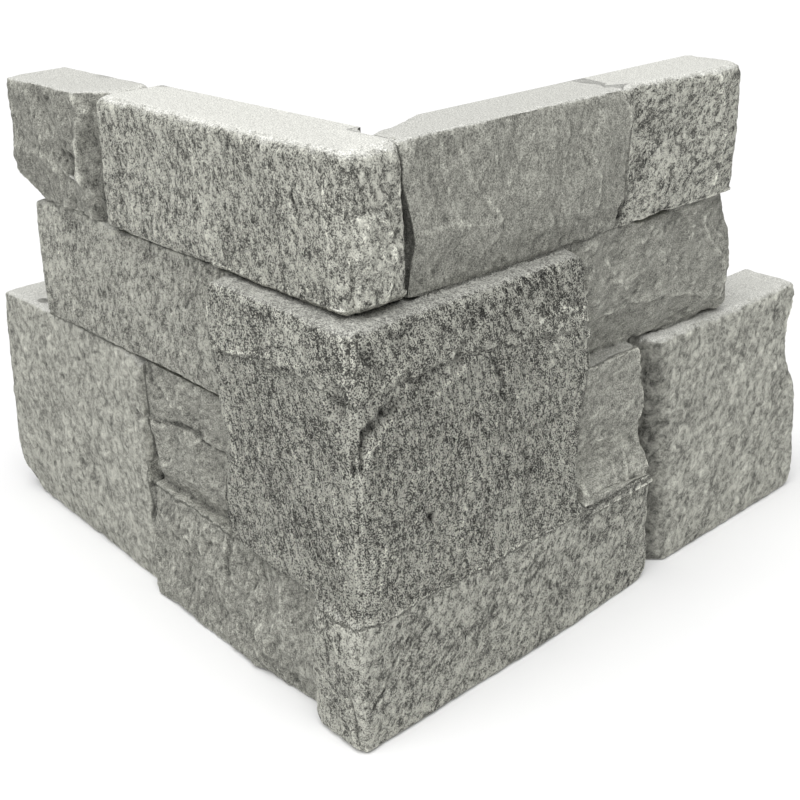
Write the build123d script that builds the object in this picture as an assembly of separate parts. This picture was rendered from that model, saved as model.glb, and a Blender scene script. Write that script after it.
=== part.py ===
"""Stone cladding corner piece: two wings of rough courses that wrap an outside wall corner.

Thirteen stones of four courses are cast as one body with the backing that joins them.
The wall's arris runs up the Z axis: the left wing lies on the plane Y = 0 and reaches
towards -X, and the right wing lies on the plane X = 0 and reaches towards +Y. The
underside is Z = 0.

Each stone is drawn in its wing's own frame: along the wing (x on the left wing, y on
the right wing), up, and out from the wall face.
"""

import os
from math import cos, radians, sin

from build123d import *

# Courses and joints, in millimetres
course_1 = 50.0
course_2 = 50.0
course_3 = 50.0
course_4 = 50.0
joint = 1.6
backing_left = 17.0
backing_right = 15.0
backing_inset = 5.0
backing_low = 2.0

# How far the lower courses reach from the wall's arris, and how far the upper ones stop short of them
left_reach = 227.0
right_reach = 222.0
left_tooth = 39.0
right_tooth = 51.0
stretcher_left_short = 4.0
stretcher_right_short = 3.0

# Where each stone ends, along the left wing (x)
block_left_start = -left_reach
block_left_end = -107.5
tip_left_start = left_tooth - left_reach
tip_left_end = -119.5
stretcher_left_start = tip_left_start + stretcher_left_short
great_left_start = -44.0
base_corner_start = 7.5

# Where each stone ends, along the right wing (y)
split_top_start = -1.0
split_top_end = 99.0
tip_right_end = right_reach - right_tooth
great_right_end = 72.0
stretcher_right_end = tip_right_end - stretcher_right_short
filler_right_end = 114.5
base_corner_end = 115.0
block_right_start = 121.0
block_right_end = right_reach

# How far each stone's face stands out from the wall face
tip_left_out = 30.0
top_corner_out = 26.5
top_corner_end_out = 24.5
split_top_out = 27.0
tip_right_out = 27.5
stretcher_left_out = 28.5
great_left_out = 35.0
great_right_out = 32.0
stretcher_right_out = 25.0
block_left_out = 31.0
filler_left_out = 27.5
filler_right_out = 25.0
block_right_out = 28.5
base_split_out = 36.5
base_corner_left_out = 39.0
base_corner_right_out = 33.0

# Edges, and how far one stone runs on under its neighbour
worn_edge = 1.8
foot_edge = 1.2
great_edge = 3.0
corner_round = 5.0
split_round = 3.0
wander_round = 9.0
tuck = 6.0
great_drop = 2.5
filler_step = 1.8
head_chip = 7.0
tip_back_step = 3.0
broken_back_wide = 11.0
broken_back_long = 23.0
broken_back_lip = 1.5
broken_back_turn = (4.4, 12.6)
far = 400.0

# Shallow hollows worn into the pale faces
dish_wide = 46.0
dish_deep = 0.9
dimple_wide = 32.0
dimple_deep = 0.8

bed_1 = course_1
bed_2 = bed_1 + course_2
bed_3 = bed_2 + course_3
top = bed_3 + course_4
half = joint / 2
in_front = (Align.CENTER, Align.CENTER, Align.MIN)

left_wing = Plane(origin=(0, 0, 0), x_dir=(1, 0, 0), z_dir=(0, -1, 0))
right_wing = Plane(origin=(0, 0, 0), x_dir=(0, 1, 0), z_dir=(1, 0, 0))


def side(a, b, offsets):
    """Corner a and the evenly spaced points on the way to b, each moved outward by its offset."""
    a, b = Vector(*a), Vector(*b)
    outward = Vector((b - a).Y, -(b - a).X).normalized()
    step = (b - a) / (len(offsets) + 1)
    return [a] + [a + step * (k + 1) + outward * d for k, d in enumerate(offsets)]


def outline(left, low, right, high, bottom=(), end=(), crown=(), start=(), corners=corner_round):
    """Closed outline of a rough face, whose sides wander outward from a rectangle by the offsets.

    The sides run anticlockwise: bottom, end, crown and start.
    """
    ring = [(left, low), (right, low), (right, high), (left, high)]
    offsets = [bottom, end, crown, start]
    if isinstance(corners, float):
        corners = [corners] * 4
    points, rounds = [], []
    for k in range(4):
        points += side(ring[k], ring[(k + 1) % 4], offsets[k])
        rounds += [corners[k]] + [wander_round] * len(offsets[k])
    return make_face(FilletPolyline(*points, radius=rounds, close=True))


def stone(face, out, edge=0.0):
    """A stone that reaches from the wall face out to its own face, with that face's rim worn."""
    body = extrude(face, amount=out)
    if edge:
        body = chamfer(body.faces().sort_by(Axis.Z)[-1].edges(), edge)
    return body


def front_of(body, plane):
    """The half space on the far side of the fracture plane through three points, seen from the body."""
    a, b, c = [Vector(*point) for point in plane]
    normal = (b - a).cross(c - a).normalized()
    if normal.dot(body.center() - a) > 0:
        normal = -normal
    return Plane(origin=a, z_dir=normal).location * Box(far, far, far, align=in_front)


def cleft(body, *planes):
    """Knock off what lies in front of all the fracture planes, each three points of the frame."""
    chip = front_of(body, planes[0])
    for plane in planes[1:]:
        chip = chip & front_of(body, plane)
    return body - chip


def scoop(body, along, up, out, wide, deep):
    """Break a shell-shaped hollow of this width and depth out of the face at out."""
    radius = (wide * wide / 4 + deep * deep) / (2 * deep)
    return body - Pos(along, up, out - deep + radius) * Rot(90, 0, 0) * Sphere(radius)


def slit(body, along, up, out, length, wide, deep, turn):
    """Cut a V-shaped slit in the face at out, turned anticlockwise from the wing's run."""
    run = Vector(cos(radians(turn)), sin(radians(turn)), 0)
    across = run.cross(Vector(0, 0, 1))
    section = Polyline((-wide, deep), (0, -deep), (wide, deep), close=True)
    start = Plane(origin=Vector(along, up, out) - run * (length / 2), x_dir=across, z_dir=-run)
    return body - extrude(start * make_face(section), amount=-length)


def tip_left():
    """Dark split stone at the free end of the top course."""
    low, s, e, out = bed_3 + half, tip_left_start, tip_left_end, tip_left_out
    body = stone(outline(s, low, e, top, start=(0.5, 3, 1), corners=split_round), out)
    body = cleft(body, ((s - 3, low + 13, out), (s + 16, low + 1, out), (s + 2, low + 6, 0)))
    body = cleft(body, ((s - 1, top - 6, out), (s + 7, top, out), (s - 1, top, out - 9)))
    body = cleft(body, ((e - 10, top, out), (e - 13, low, out), (e - 1, low + 25, out - 13)))
    body = cleft(body, ((s, low + 20, out), (s + 40, low + 16, out), (s + 30, low, out - 3.5)))
    body = cleft(body, ((s + 2, top, out), (s + 1, low, out), (s - 4, top, out - 8)))
    body = scoop(body, e - 20, low + 22, out, 17, 2.2)
    body = scoop(body, e - 34, top - 8, out, 26, 1.2)
    return body - Pos((s + e) / 2, (low + top) / 2, 0) * Box(far, far, 2 * tip_back_step)


def top_corner():
    """Long worn stone of the top course, whose head turns the corner."""
    low, s, e, out = bed_3 + half, tip_left_end, top_corner_end_out, top_corner_out
    body = stone(outline(s, low, e, top, bottom=(0.5, -0.4, 0.5), start=(1, -0.6, 3.5),
                         end=(0.4, -0.5)), out, worn_edge)
    body = cleft(body, ((e, low, 5), (e, top, 5), (e - 7, low, 0)))
    body = scoop(body, s + 34, low + 30, out, dish_wide, dish_deep)
    body = scoop(body, s + 92, low + 14, out, dish_wide, dish_deep)
    return scoop(body, e - 12, top - 8, out, dimple_wide, dimple_deep)


def split_top():
    """Dark split stone of the top course on the right wing."""
    low, s, e, out = bed_3 + half, split_top_start, split_top_end, split_top_out
    body = stone(outline(s, low, e + tuck, top, start=(1, -1.4, 0.5), corners=split_round), out)
    body = cleft(body, ((s, low + 20, out - 1), (s + 34, low + 16, out), (s + 20, top, out - 4)))
    body = cleft(body, ((s, low + 20, out), (s + 34, low + 16, out), (s + 10, low, out - 3)),
                 ((s + 34, low + 16, out), (s + 39, low, out), (s + 31, low + 8, out - 3)))
    body = cleft(body, ((s + 34, low + 10, out), (s + 58, top, out - 1), (e, low + 12, out - 2)))
    body = cleft(body, ((s + 56, low + 9, out - 1), (s + 97, low + 6, out - 2), (s + 75, low, out - 3.2)))
    body = cleft(body, ((s + 50, low + 30, out - 1), (s + 50, top, out - 2.4), (e, top, out - 2.6)))
    body = scoop(body, s + 37, top - 15, out - 2.5, 22, 0.7)
    return scoop(body, s + 71, top - 17, out - 2, 18, 0.6)


def tip_right():
    """Pale worn stone at the free end of the top course."""
    low, s, e, out = bed_3 + half, split_top_end, tip_right_end, tip_right_out
    body = stone(outline(s - 3, low, e, top, bottom=(-0.6, 0.4), end=(0.4, -0.6, 0.7),
                         start=(-1.5, -2, -4.5)), out, worn_edge)
    body = cleft(body, ((s, top, out - 6.5), (s + 44, top, out), (s, low, out - 4)))
    body = cleft(body, ((s + 30, bed_3 + 24, out), (e, bed_3 + 24, out), (s + 30, low, out - 2)))
    body = cleft(body, ((e - 8, low, out), (e - 7.5, top, out), (e, low, out - 10)))
    body = scoop(body, s + 24, low + 32, out - 2, dimple_wide, dimple_deep)
    return scoop(body, e - 20, low + 4, out - 1, 22, 1.0)


def stretcher_left():
    """Pale worn stone of the third course on the left wing."""
    low, s, e, out = bed_2 + half, stretcher_left_start, great_left_start, stretcher_left_out
    body = stone(outline(s, low, e + tuck, bed_3 - half, start=(-0.6, -1.4, 0.5),
                         crown=(0.4, -0.4, 0.4), bottom=(0.5, -0.3),
                         corners=(5.0, 5.0, 5.0, 2.5)), out, worn_edge)
    body = cleft(body, ((s, bed_3 - 32, out), (e, bed_3 - 32, out), (s, bed_3, out - 3)))
    body = cleft(body, ((s + 4.5, low, out), (s + 3, bed_3, out), (s - 1, low, out - 6)))
    body = scoop(body, s + 48, low + 20, out, dish_wide, dish_deep)
    return scoop(body, s + 100, low + 30, out, dimple_wide, dimple_deep)


def stretcher_right():
    """Dark split stone of the third course on the right wing."""
    low, s, e, out = bed_2 + half, great_right_end, stretcher_right_end, stretcher_right_out
    body = stone(outline(s - tuck, low, e, bed_3 - half, end=(4.5, 5, 2), corners=split_round), out)
    body = cleft(body, ((s, low + 17, out), (s + 60, low + 16, out), (s + 30, low, out - 3.5)))
    body = cleft(body, ((s + 60, low + 17, out), (e + 2, low + 10, out), (e, low, out - 4)))
    body = cleft(body, ((s, low + 24, out), (e, low + 28, out), (s, bed_3, out - 2.2)))
    body = cleft(body, ((e - 12, bed_3, out - 2), (e - 12, low + 26, out), (e - 4, low + 40, out - 3.5)))
    body = cleft(body, ((e - 6.5, bed_3, out), (e + 1.5, low + 25, out), (e - 0.5, bed_3, out - 8)))
    body = cleft(body, ((e + 1.5, low + 25, out), (e - 1, low, out), (e + 6.5, low + 25, out - 8)))
    body = scoop(body, s + 42, low + 19, out, 20, 1.4)
    return scoop(body, s + 16, low + 28, out, 26, 1.8)


def great_corner():
    """Two-course stone at the arris, worn and deeply streaked on both of its faces."""
    low, high = bed_1 - great_drop, bed_3 - half
    left_face = outline(great_left_start, low, great_right_out, high, start=(1.5, -0.5, -3, 0.5),
                        corners=(8.0, 0.0, 0.0, corner_round))
    right_face = outline(-great_left_out, low, great_right_end, high, end=(-1.5, 0.5, 4, 1),
                         corners=(0.0, corner_round, corner_round, 0.0))
    body = left_wing.location * extrude(left_face, amount=great_left_out)
    body += right_wing.location * extrude(right_face, amount=great_right_out)
    rim = body.faces().sort_by(Axis.Y)[0].edges() + body.faces().sort_by(Axis.X)[-1].edges()
    ends = [edge for edge in rim if edge.bounding_box().max.Z > low + great_edge]
    body = fillet(ends, great_edge)

    wing = left_wing.location.inverse() * body
    out = great_left_out
    wing = cleft(wing, ((great_left_start, high - 24, out), (12, high - 15, out), (0, high, out - 1.2)),
                 ((12, high, out), (12, low, out), (8, low, out - 1.2)))
    wing = scoop(wing, 24, high - 23, out, 13, 1.6)
    wing = scoop(wing, great_left_start + 18, low + 24, out, dimple_wide, dimple_deep)
    wing = scoop(wing, 10, low + 8, out, dimple_wide, dimple_deep)
    body = left_wing.location * wing

    wing = right_wing.location.inverse() * body
    out = great_right_out
    wing = cleft(wing, ((46, high - 19, out), (great_right_end, high - 24, out), (60, high, out - 1.4)))
    wing = slit(wing, -27, high - 33, out, 15, 1.1, 2.2, 35)
    wing = slit(wing, -27, high - 8, out, 14, 0.9, 1.4, -50)
    wing = scoop(wing, 2, high - 34, out, dimple_wide, dimple_deep)
    wing = scoop(wing, 44, low + 40, out, dish_wide, dish_deep)
    wing = scoop(wing, -4, low + 29, out, 5, 1.2)
    return right_wing.location * scoop(wing, 34, low + 12, out, dimple_wide, dimple_deep)


def block_left():
    """Worn two-course stone at the free end of the left wing."""
    low, s, e, out = 0, block_left_start, block_left_end, block_left_out
    body = stone(outline(s, low, e, bed_2 - half, bottom=(-1.5, -0.5, -1, -0.2), crown=(-0.4, 0.5, 0.8),
                         end=(0.3, 0.8, -0.3), start=(0, -1, 4, 5), corners=(9.0, 4.0, 8.0, 3.0)),
                 out, foot_edge)
    body = cleft(body, ((s, bed_1, out), (e, bed_1, out), (s, bed_2, out - 3.5)))
    body = cleft(body, ((s - 1, low, out), (s + 8, bed_2, out), (s - 8, low, out - 2)))
    body = cleft(body, ((s - 6, low, out - 2.5), (s + 3, bed_2, out - 2), (s - 11, low, out - 8)))
    body = cleft(body, ((s - 6, low + 15, out), (s + 13, low, out), (s + 3.5, low + 7.5, 0)))
    body = cleft(body, ((s, low + 26, out), (e, low + 8, out), (s, low, out - 3.5)))
    body = scoop(body, s + 44, bed_1 + 12, out, dish_wide, dish_deep)
    body = scoop(body, s + 82, low + 34, out, dish_wide, dish_deep)
    return scoop(body, s + 30, low + 26, out, dimple_wide, dimple_deep)


def filler_left():
    """Dark split stone between the left block and the great corner."""
    low, high = bed_1 - great_drop - 2 + half, bed_2 - half
    s, e, out = block_left_end, great_left_start, filler_left_out
    body = stone(outline(s - 1, low, e + tuck, high, corners=split_round), out)
    back = out - filler_step
    body = cleft(body, ((s, high - 23, back), (s + 40, high - 19, back), (s + 20, high, back)),
                 ((s, high - 24, out), (s + 40, high - 20, out), (s + 20, high - 21, out - 6)))
    body = cleft(body, ((s, low + 9, out), (e, low + 12, out), (s + 30, low, out - 4)))
    body = cleft(body, ((s + 9, low, out), (s + 3, high - 26, out), (s, low, out - 6)))
    return scoop(body, e - 12, low + 24, out, 18, 1.3)


def filler_right():
    """Dark split stone between the great corner and the right block."""
    low, high = bed_1 + half, bed_2 - half
    s, e, out = great_right_end, filler_right_end, filler_right_out
    body = stone(outline(s - tuck, low, e, high + 1, end=(1, 4, 3), bottom=(0.6, -0.8),
                         corners=split_round), out)
    body = cleft(body, ((e - 3, low, out), (e - 2, high, out), (e + 3, low + 25, out - 5)))
    body = cleft(body, ((s, low + 20, out), (e - 10, low + 16, out), (s + 20, low, out - 4)))
    return scoop(body, s + 24, high - 10, out, 26, 1.2)


def block_right():
    """Worn two-course stone at the free end of the right wing."""
    low, s, e, out = 0, block_right_start, block_right_end, block_right_out
    body = stone(outline(s, low, e, bed_2 - half, bottom=(-0.2, 0, -0.3), end=(7, 6, 1, -8, -5),
                         crown=(0.4, -0.5, 0.4), start=(0.4, -0.5, 0.3),
                         corners=(3.0, 6.0, 3.0, 6.0)), out, foot_edge)
    body = cleft(body, ((s, bed_1, out), (e, bed_1, out), (s, bed_2, out - 3.5)))
    body = cleft(body, ((s + 9, low, out), (s + 8, bed_2, out), (s + 1, low, out - 8)))
    body = cleft(body, ((e + 3, low, out), (e - 4, bed_2, out), (e + 9, low, out - 9)))
    body = scoop(body, s + 34, bed_1 + 10, out, dish_wide, dish_deep)
    body = scoop(body, s + 66, low + 30, out, dish_wide, dish_deep)
    return scoop(body, e - 24, bed_2 - 24, out, dimple_wide, dimple_deep)


def base_split():
    """Dark split stone of the bottom course on the left wing."""
    low, high = 0, bed_1 - great_drop - 2 - half
    s, e, out = block_left_end + 1, base_corner_start, base_split_out
    body = stone(outline(s, low, e + tuck, high + 3, bottom=(-1.2, -0.3, -1.4, -0.2), crown=(1, -1, -1.5),
                         corners=split_round), out)
    body = cleft(body, ((s, high + 4, out - 9), (e, high + 4, out - 7), (e, low + 8, out)))
    body = cleft(body, ((s + 8, high, out), (s + 9, low, out), (s - 1, low, out - 6)))
    body = cleft(body, ((s, low + 12, out), (s + 46, low + 8, out), (s + 24, low, out - 1.5)))
    body = cleft(body, ((e - 56, low, out), (e, low + 16, out), (e - 20, low, out - 3.2)))
    body = cleft(body, ((e - 16, low, out - 3), (e, low + 10, out - 3), (e, low, out - 6)))
    body = scoop(body, s + 44, low + 34, out - 3, 24, 1.4)
    body = scoop(body, s + 66, low + 20, out - 1, 22, 1.2)
    return scoop(body, s + 24, low + 30, out - 4, 26, 1.2)


def base_corner():
    """Worn stone of the bottom course, whose head turns the corner under the great stone."""
    s, e, out = -base_corner_left_out, base_corner_end, base_corner_right_out
    high = bed_1 - half
    body = stone(outline(s, 0, e, high, bottom=(-0.2, 0, -0.3), end=(0.4, -0.5), crown=(3, -2, -1.6, -2.2),
                         start=(0.5, -0.5), corners=(3.0, 7.0, 7.0, 4.0)), out, foot_edge)
    body = cleft(body, ((e - 60, 0, out), (e - 60, high, out), (e, 0, out - 3)))
    body = scoop(body, s + 120, 24, out, dish_wide, dish_deep)
    body = scoop(body, s + 66, 20, out, dimple_wide, dimple_deep)
    edge = base_corner_start
    body = cleft(body, ((s, head_chip, edge), (s, 0, edge + 4), (s + 9, 0, edge)))
    head = Box(base_corner_start, far, far, align=(Align.MIN, Align.MAX, Align.CENTER))
    body = right_wing.location * body
    return body - Pos(0, -backing_left, 0) * head


def backing():
    """The cast layer behind the stones, seen at the bottoms of the joints."""
    body = None
    for low, high, left, right in ((0, bed_2, block_left_start, block_right_end),
                                   (bed_2, top, stretcher_left_start, stretcher_right_end)):
        low = max(0, low - backing_low)
        high = high - backing_low
        left = left + backing_inset
        right = right - backing_inset
        section = Polyline((left, 0), (0, 0), (0, right), (backing_right, right),
                           (backing_right, -backing_left), (left, -backing_left), close=True)
        layer = Pos(0, 0, low) * extrude(make_face(section), amount=high - low)
        body = layer if body is None else body + layer
    return body


def broken_back():
    """What is missing at the back of the split top stone, beside the wall's arris."""
    section = Polyline((0, -broken_back_lip), (broken_back_wide, -broken_back_lip), broken_back_turn,
                       (0, broken_back_long), close=True)
    return Pos(0, 0, bed_3 + half) * extrude(make_face(section), amount=course_4)


def corner_panel():
    """All thirteen stones on their backing, as one cast body."""
    body = backing()
    for make in (tip_left, top_corner, stretcher_left, block_left, filler_left, base_split):
        body += left_wing.location * make()
    for make in (split_top, tip_right, stretcher_right, filler_right, block_right):
        body += right_wing.location * make()
    return body + great_corner() + base_corner() - broken_back()


os.makedirs("parts", exist_ok=True)
panel = corner_panel()
print("corner_panel", round(panel.volume), "mm3", len(panel.solids()), "solid", len(panel.faces()), "faces")
export_step(panel, "parts/corner_panel.step")
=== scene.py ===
import math

import bmesh
import bpy
import numpy as np
from mathutils import Matrix, Vector


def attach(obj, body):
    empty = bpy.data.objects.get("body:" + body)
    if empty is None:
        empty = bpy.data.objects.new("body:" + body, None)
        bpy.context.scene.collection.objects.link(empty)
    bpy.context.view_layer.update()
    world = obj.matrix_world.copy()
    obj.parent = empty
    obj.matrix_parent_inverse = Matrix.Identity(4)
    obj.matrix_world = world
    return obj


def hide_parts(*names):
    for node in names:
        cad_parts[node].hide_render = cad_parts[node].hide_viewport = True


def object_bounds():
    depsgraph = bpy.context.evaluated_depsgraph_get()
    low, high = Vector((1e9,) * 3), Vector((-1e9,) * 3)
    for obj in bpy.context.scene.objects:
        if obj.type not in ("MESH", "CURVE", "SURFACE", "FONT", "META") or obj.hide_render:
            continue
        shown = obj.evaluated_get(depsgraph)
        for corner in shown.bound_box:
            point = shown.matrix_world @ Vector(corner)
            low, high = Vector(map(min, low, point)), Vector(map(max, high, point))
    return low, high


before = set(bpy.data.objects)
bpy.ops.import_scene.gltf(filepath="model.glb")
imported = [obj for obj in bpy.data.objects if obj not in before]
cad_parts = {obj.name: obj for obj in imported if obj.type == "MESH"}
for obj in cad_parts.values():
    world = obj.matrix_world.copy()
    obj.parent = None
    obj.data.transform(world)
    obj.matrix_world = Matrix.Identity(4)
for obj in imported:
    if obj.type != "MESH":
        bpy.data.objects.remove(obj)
cad_low, cad_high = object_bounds()
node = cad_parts["corner_panel"]

# All shaping below is in millimetres. The left wing runs along -x and its stones stand out to -y, the
# right wing runs along y and its stones stand out to x.
VOXEL = 0.8
TRIANGLES = 190000
BED_2, BED_3, TOP = 100.0, 150.0, 200.0
LIFT = 0.3  # what lies more than this above the top bed is moved with the top course
BOX_MARGIN = 0.02  # how far the weathered surface stays inside the solid's box

# The corners of the noise's cells: a slope for each, and a place and a depth for each scallop
GRID = 64
rng = np.random.default_rng(23)
slopes = rng.normal(size=(GRID, GRID, GRID, 3)).astype(np.float32)
slopes /= np.linalg.norm(slopes, axis=-1, keepdims=True)
jitter = rng.uniform(-0.45, 0.45, (GRID, GRID, GRID, 3)).astype(np.float32)
lifts = rng.uniform(0, 1, (GRID, GRID, GRID)).astype(np.float32)


def smooth(low, high, x):
    """0 at low and 1 at high, with a smooth step between. Low may be the larger one."""
    t = np.clip((x - low) / (high - low), 0, 1)
    return t * t * (3 - 2 * t)


def noise(p):
    """Smooth noise, about -1 to 1, at points given in cells."""
    cell = np.floor(p).astype(np.int64)
    f = p - cell
    w = f * f * f * (f * (f * 6 - 15) + 10)
    total = np.zeros(len(p))
    for corner in np.ndindex(2, 2, 2):
        c = np.array(corner)
        i, j, k = ((cell + c) % GRID).T
        dot = np.einsum("ij,ij->i", slopes[i, j, k], f - c)
        total += dot * np.prod(np.where(c == 1, w, 1 - w), axis=1)
    return total * 1.7


def scallops(p):
    """Shell-shaped hollows that meet in ridges, 0 at their bottoms, at points given in cells."""
    cell = np.floor(p).astype(np.int64)
    low = np.full(len(p), 9.0)
    for corner in np.ndindex(3, 3, 3):
        c = cell + np.array(corner) - 1
        i, j, k = (c % GRID).T
        away = p - (c + 0.5 + jitter[i, j, k])
        low = np.minimum(low, 0.45 * lifts[i, j, k] + np.einsum("ij,ij->i", away, away))
    return low


def spread(values, edges, rounds):
    """Values averaged with those of the neighbouring vertices, so many times."""
    n = len(values)
    a, b = edges.T
    count = np.bincount(a, minlength=n) + np.bincount(b, minlength=n)
    flat = values.reshape(n, -1).astype(float)
    for _ in range(rounds):
        near = np.stack([np.bincount(a, flat[b, k], n) + np.bincount(b, flat[a, k], n)
                         for k in range(flat.shape[1])], axis=1)
        flat = 0.5 * flat + 0.5 * near / np.maximum(count, 1)[:, None]
    return flat.reshape(values.shape)


def stretch(wide, up):
    """Cell sizes of scallops and flakes that are taller than wide."""
    return np.array([wide, wide, up])


def arrays(mesh):
    """Places in millimetres, normals and edges of a mesh."""
    n = len(mesh.vertices)
    co = np.zeros(n * 3, np.float32)
    mesh.vertices.foreach_get("co", co)
    no = np.zeros(n * 3, np.float32)
    mesh.vertex_normals.foreach_get("vector", no)
    ed = np.zeros(len(mesh.edges) * 2, np.int32)
    mesh.edges.foreach_get("vertices", ed)
    return co.reshape(-1, 3) * 1000.0, no.reshape(-1, 3), ed.reshape(-1, 2)


def moved_to(mesh, p):
    """Gives a mesh new places in millimetres, and returns its places, normals and edges."""
    mesh.vertices.foreach_set("co", (p / 1000).astype(np.float32).ravel())
    mesh.update()
    return arrays(mesh)


def sag_of(p, n, smoothed):
    """How far a smoothed surface lies outside the surface: above zero in hollows."""
    return np.einsum("ij,ij->i", smoothed - p, n)


# The thirteen stones. Each row: split or worn, relief in millimetres, ground tone, contrast of the grain,
# how many deep pits, how dark they are (partly the grain's own tone, partly painted shade in the pits),
# strength of the grit, size of the grain in millimetres, how far it is drawn out, its lean from the vertical
# in degrees, the tone of its bed (partly its own paler top, partly painted overhead light), how much of the
# bed shows, and how far its rims are worn round. A stone that turns the corner has a row for each wing.
STONES = {
    "tip_left": (1, 1.4, 0.275, 4.0, 0.25, 0.40, 1.10, 1.3, 1.5, 20, 0.54, 1.0, 0.35),
    "top_corner": (0, 0.6, 0.420, 8.0, 0.40, 0.60, 1.80, 1.0, 1.5, -8, 0.69, 1.0, 0.85),
    "top_head": (0, 0.6, 0.420, 7.2, 0.45, 0.60, 1.10, 1.2, 1.3, -20, 0.69, 1.0, 0.85),
    "split_top": (1, 1.1, 0.280, 3.0, 0.05, 0.30, 1.25, 1.2, 1.5, 10, 0.52, 1.0, 0.30),
    "tip_right": (0, 0.5, 0.400, 8.0, 0.45, 0.65, 1.40, 1.1, 1.4, 50, 0.62, 1.0, 0.85),
    "stretcher_left": (0, 0.6, 0.345, 5.8, 0.30, 0.40, 1.20, 1.2, 1.3, 15, 0.42, 0.5, 0.60),
    "great_left": (0, 0.6, 0.410, 12.3, 0.45, 0.65, 4.10, 0.8, 1.9, -16, 0.50, 0.6, 0.60),
    "great_right": (0, 0.7, 0.398, 12.3, 0.45, 0.65, 4.10, 0.85, 1.7, 15, 0.50, 0.6, 0.60),
    "stretcher_right": (1, 1.4, 0.260, 3.4, 0.15, 0.35, 1.05, 1.4, 1.8, 70, 0.40, 0.5, 0.35),
    "block_left": (0, 0.8, 0.350, 4.6, 0.20, 0.15, 0.20, 1.6, 1.1, 0, 0.54, 1.0, 0.60),
    "filler_left": (1, 1.4, 0.280, 4.2, 0.15, 0.40, 1.30, 1.3, 1.6, 60, 0.30, 0.0, 0.25),
    "filler_right": (1, 1.3, 0.305, 4.2, 0.15, 0.35, 1.20, 1.3, 1.6, 70, 0.30, 0.0, 0.25),
    "block_right": (0, 0.8, 0.360, 5.0, 0.20, 0.20, 0.30, 1.5, 1.2, 35, 0.54, 1.0, 0.95),
    "base_split": (1, 1.7, 0.285, 4.6, 0.25, 0.40, 1.20, 1.4, 1.4, 10, 0.32, 0.0, 0.25),
    "base_left": (0, 0.7, 0.385, 8.0, 0.40, 0.55, 1.70, 1.1, 1.4, -10, 0.34, 0.0, 0.30),
    "base_right": (0, 0.7, 0.360, 7.5, 0.35, 0.50, 1.30, 1.15, 1.4, 30, 0.34, 0.0, 0.30),
}
SPLIT, RELIEF, GROUND, CONTRAST, PITS, DARK, GRIT, SIZE, DRAWN, LEAN, BED, SHOWS, WORN = range(13)
NAMES = list(STONES)
TABLE = np.array([STONES[n] for n in NAMES], float)

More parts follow.
